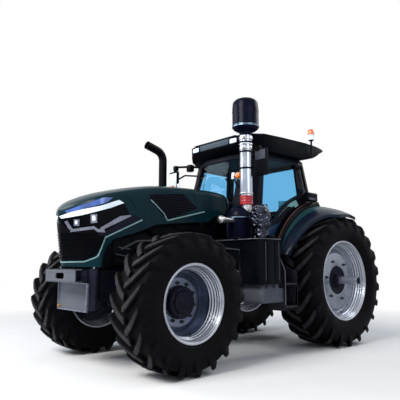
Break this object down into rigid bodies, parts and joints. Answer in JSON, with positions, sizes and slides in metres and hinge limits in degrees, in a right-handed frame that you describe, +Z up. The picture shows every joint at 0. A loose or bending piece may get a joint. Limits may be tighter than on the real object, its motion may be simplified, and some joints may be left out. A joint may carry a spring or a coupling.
{
  "type": "farm tractor",
  "caption": "Four-wheel-drive farm tractor with glazed cab, long bonnet, lugged tyres, a bright intake stack with a drum cap and a rear three-point hitch.",
  "frame": {"origin": "middle of the overall length and width, on the ground under the wheels", "axes": "+X forwards, +Y to the driver's left, +Z up"},
  "size_m": [5, 2.78, 3.3],
  "materials": {
    "tyre_rubber": "matt moulded rubber",
    "silver_paint": "satin silver paint",
    "teal_paint": "gloss metallic dark teal",
    "cast_dark": "satin dark blue grey paint",
    "grey_steel": "satin grey paint",
    "bright_steel": "polished, with worn clamps",
    "black_plastic": "semi-gloss moulded plastic",
    "cab_dark": "satin dark navy paint",
    "clear_glass": "clear, lightly tinted",
    "orange_lens": "clear moulded lens",
    "red_rubber": "smooth hose rubber",
    "seat_fabric": "woven dark cloth"
  },
  "bodies": {
    "chassis": {"air_canister": "black_plastic", "air_drum": "bright_steel", "air_stack": "bright_steel", "beacon": "orange_lens", "cab_frame": "cab_dark", "cab_glass": "clear_glass", "cab_roof": "black_plastic", "cab_steps": "grey_steel", "console": "black_plastic", "engine_block": "cast_dark", "exhaust_pipe": "bright_steel", "fender_edges": "black_plastic", "foil_duct": "bright_steel", "front_axle_beam": "cast_dark", "front_carrier": "cast_dark", "front_frame": "cast_dark", "front_plate": "grey_steel", "fuel_tanks": "black_plastic", "hitch_frame": "cast_dark", "hood_bracket": "cast_dark", "marker_lamps": "black_plastic", "mirrors": "black_plastic", "radiator": "black_plastic", "rear_fenders": "teal_paint", "red_hose": "red_rubber", "roof_lamps": "black_plastic", "seat": "seat_fabric", "side_boxes": "grey_steel", "steering_cylinder": "bright_steel", "tail_lamps": "orange_lens", "tow_bar": "grey_steel", "transmission_housing": "cast_dark"},
    "bonnet": {"hood_shell": "teal_paint", "headlamps": "clear_glass", "hood_grilles": "black_plastic"},
    "left_door": {"door_left": "cab_dark", "door_left_glass": "clear_glass"},
    "right_door": {"door_right": "cab_dark", "door_right_glass": "clear_glass"},
    "left_knuckle": {"knuckle_left": "cast_dark"},
    "right_knuckle": {"knuckle_right": "cast_dark"},
    "track_rod": {"steering_rod": "bright_steel"},
    "hand_wheel": {"steering_wheel": "black_plastic"},
    "hitch_links": {"lower_links": "cast_dark"},
    "hitch_rods": {"lift_rods": "cast_dark"},
    "hitch_arms": {"lift_arms": "cast_dark"},
    "wheel_front_left": {"tyre_front_left": "tyre_rubber", "rim_front_left": "silver_paint", "hub_front_left": "cast_dark"},
    "wheel_front_right": {"tyre_front_right": "tyre_rubber", "rim_front_right": "silver_paint", "hub_front_right": "cast_dark"},
    "wheel_rear_left": {"tyre_rear_left": "tyre_rubber", "rim_rear_left": "silver_paint", "hub_rear_left": "cast_dark"},
    "wheel_rear_right": {"tyre_rear_right": "tyre_rubber", "rim_rear_right": "silver_paint", "hub_rear_right": "cast_dark"}
  },
  "joints": [
    {"name": "bonnet_hinge", "type": "hinge", "parent": "chassis", "child": "bonnet", "pos_m": [0.355, 0, 1.96], "axis": [0, -1, 0], "range_deg": [0, 45]},
    {"name": "left_door_hinge", "type": "hinge", "parent": "chassis", "child": "left_door", "pos_m": [-0.925, 0.778, 2.15], "axis": [0.0507, -0.0974, 0.994], "range_deg": [0, 65]},
    {"name": "right_door_hinge", "type": "hinge", "parent": "chassis", "child": "right_door", "pos_m": [-0.925, -0.778, 2.15], "axis": [-0.0507, -0.0974, -0.994], "range_deg": [0, 65]},
    {"name": "left_steer", "type": "hinge", "parent": "chassis", "child": "left_knuckle", "pos_m": [1.535, 0.72, 0.735], "axis": [0, 0, 1], "range_deg": [-35, 35]},
    {"name": "right_steer", "type": "hinge", "parent": "chassis", "child": "right_knuckle", "pos_m": [1.535, -0.72, 0.735], "axis": [0, 0, 1], "range_deg": [-35, 35]},
    {"name": "track_rod_slide", "type": "slide", "parent": "chassis", "child": "track_rod", "axis": [0, 1, 0], "range_m": [-0.11, 0.11]},
    {"name": "hand_wheel_turn", "type": "hinge", "parent": "chassis", "child": "hand_wheel", "pos_m": [-0.13, 0, 1.96], "axis": [-0.5736, 0, 0.8192], "range_deg": [-720, 720]},
    {"name": "hitch_lift", "type": "hinge", "parent": "chassis", "child": "hitch_links", "pos_m": [-1.54, 0, 0.56], "axis": [0, 1, 0], "range_deg": [-15, 30]},
    {"name": "hitch_rod_pin", "type": "hinge", "parent": "hitch_links", "child": "hitch_rods", "pos_m": [-2.05, 0, 0.6], "axis": [0, 1, 0], "range_deg": [-30, 15]},
    {"name": "hitch_arm_turn", "type": "hinge", "parent": "chassis", "child": "hitch_arms", "pos_m": [-1.54, 0, 1.065], "axis": [0, 1, 0], "range_deg": [-15, 30]},
    {"name": "front_left_roll", "type": "hinge", "parent": "left_knuckle", "child": "wheel_front_left", "pos_m": [1.535, 0.954, 0.735], "axis": [0, 1, 0], "continuous": true},
    {"name": "front_right_roll", "type": "hinge", "parent": "right_knuckle", "child": "wheel_front_right", "pos_m": [1.535, -0.954, 0.735], "axis": [0, 1, 0], "continuous": true},
    {"name": "rear_left_roll", "type": "hinge", "parent": "chassis", "child": "wheel_rear_left", "pos_m": [-1.31, 0.932, 0.915], "axis": [0, 1, 0], "continuous": true},
    {"name": "rear_right_roll", "type": "hinge", "parent": "chassis", "child": "wheel_rear_right", "pos_m": [-1.31, -0.932, 0.915], "axis": [0, 1, 0], "continuous": true}
  ],
  "couplings": [
    {"joint": "right_steer", "follows": "left_steer", "ratio": 1},
    {"joint": "track_rod_slide", "follows": "left_steer", "m_per_rad": -0.178},
    {"joint": "hitch_rod_pin", "follows": "hitch_lift", "ratio": -1},
    {"joint": "hitch_arm_turn", "follows": "hitch_lift", "ratio": 1}
  ]
}
